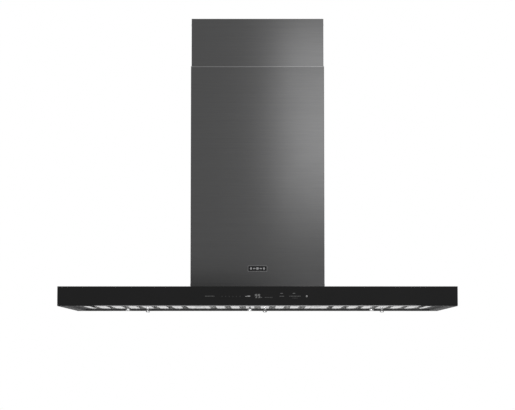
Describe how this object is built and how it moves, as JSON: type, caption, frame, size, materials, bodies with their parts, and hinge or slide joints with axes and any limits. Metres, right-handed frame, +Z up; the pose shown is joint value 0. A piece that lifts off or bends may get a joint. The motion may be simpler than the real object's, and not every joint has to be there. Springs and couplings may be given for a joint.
{
  "type": "island range hood",
  "caption": "Ceiling-hung island range hood: flat canopy with glass faces, telescoping chimney, blower with damper, hinged baffle filters.",
  "frame": {"origin": "centre of the ceiling plane, in the middle of the bracket's four bolt holes", "axes": "+Z up into the ceiling, +X along the canopy's width, -Y the front with the touch controls"},
  "size_m": [1.219, 0.686, 0.9235],
  "materials": {
    "graphite_steel": "horizontally brushed, dark graphite coating",
    "black_glass": "back-printed black glass, polished edges",
    "bright_trim": "bright satin",
    "baffle_steel": "brushed lengthwise",
    "polished_chrome": "polished",
    "badge_metal": "dark satin with a bright edge",
    "zinc_steel": "zinc coated sheet",
    "screw_steel": "zinc plated",
    "shaft_steel": "ground",
    "wheel_steel": "zinc coated sheet",
    "motor_case": "satin black",
    "capacitor_case": "moulded",
    "circuit_board": "solder mask",
    "display_face": "smoked window",
    "lamp_white": "white enamel",
    "lamp_diffuser": "frosted",
    "black_nylon": "moulded"
  },
  "bodies": {
    "ceiling_frame": {"bracket_bolts": "screw_steel", "ceiling_bracket": "zinc_steel", "upper_chimney": "graphite_steel", "upper_chimney_screws": "screw_steel", "upper_post_front_left": "zinc_steel", "upper_post_front_right": "zinc_steel", "upper_post_rear_left": "zinc_steel", "upper_post_rear_right": "zinc_steel"},
    "hood": {"badge_plate": "badge_metal", "blower_box": "zinc_steel", "cable_gland": "black_nylon", "canopy_shell": "graphite_steel", "capacitor": "capacitor_case", "chimney_base": "zinc_steel", "control_board": "circuit_board", "damper_rod": "screw_steel", "display_module": "display_face", "divider_left": "baffle_steel", "divider_right": "baffle_steel", "duct_collar": "zinc_steel", "frame_clamp_screws": "screw_steel", "front_glass": "black_glass", "front_trim": "bright_trim", "inlet_ring_left": "zinc_steel", "inlet_ring_right": "zinc_steel", "junction_box": "zinc_steel", "junction_cover": "zinc_steel", "lamp_housing_left": "lamp_white", "lamp_housing_right": "lamp_white", "lamp_lens_left": "lamp_diffuser", "lamp_lens_right": "lamp_diffuser", "lower_brace": "zinc_steel", "lower_chimney": "graphite_steel", "lower_chimney_screws": "screw_steel", "lower_post_front_left": "zinc_steel", "lower_post_front_right": "zinc_steel", "lower_post_rear_left": "zinc_steel", "lower_post_rear_right": "zinc_steel", "motor": "motor_case", "rear_glass": "black_glass", "rear_trim": "bright_trim", "rim_frame": "graphite_steel", "scroll_housing": "zinc_steel"},
    "fan": {"fan_wheel": "wheel_steel", "fan_shaft": "shaft_steel"},
    "damper_left": {"damper_flap_left": "zinc_steel"},
    "damper_right": {"damper_flap_right": "zinc_steel"},
    "filter_left": {"filter_left_frame": "baffle_steel", "filter_left_lower_baffles": "baffle_steel", "filter_left_pulls": "polished_chrome", "filter_left_upper_baffles": "baffle_steel"},
    "filter_centre": {"filter_centre_frame": "baffle_steel", "filter_centre_lower_baffles": "baffle_steel", "filter_centre_pulls": "polished_chrome", "filter_centre_upper_baffles": "baffle_steel"},
    "filter_right": {"filter_right_frame": "baffle_steel", "filter_right_lower_baffles": "baffle_steel", "filter_right_pulls": "polished_chrome", "filter_right_upper_baffles": "baffle_steel"}
  },
  "joints": [
    {"name": "height_slide", "type": "slide", "parent": "ceiling_frame", "child": "hood", "axis": [0, 0, -1], "range_m": [-0.13, 0.25]},
    {"name": "fan_spin", "type": "hinge", "parent": "hood", "child": "fan", "pos_m": [0, 0, -0.749], "axis": [1, 0, 0], "continuous": true},
    {"name": "damper_left_swing", "type": "hinge", "parent": "hood", "child": "damper_left", "pos_m": [0, 0, -0.61], "axis": [0, 1, 0], "range_deg": [0, 80]},
    {"name": "damper_right_swing", "type": "hinge", "parent": "hood", "child": "damper_right", "pos_m": [0, 0, -0.61], "axis": [0, -1, 0], "range_deg": [0, 80]},
    {"name": "filter_left_drop", "type": "hinge", "parent": "hood", "child": "filter_left", "pos_m": [0, 0.305, -0.902], "axis": [1, 0, 0], "range_deg": [0, 75]},
    {"name": "filter_centre_drop", "type": "hinge", "parent": "hood", "child": "filter_centre", "pos_m": [0, 0.305, -0.902], "axis": [1, 0, 0], "range_deg": [0, 75]},
    {"name": "filter_right_drop", "type": "hinge", "parent": "hood", "child": "filter_right", "pos_m": [0, 0.305, -0.902], "axis": [1, 0, 0], "range_deg": [0, 75]}
  ]
}
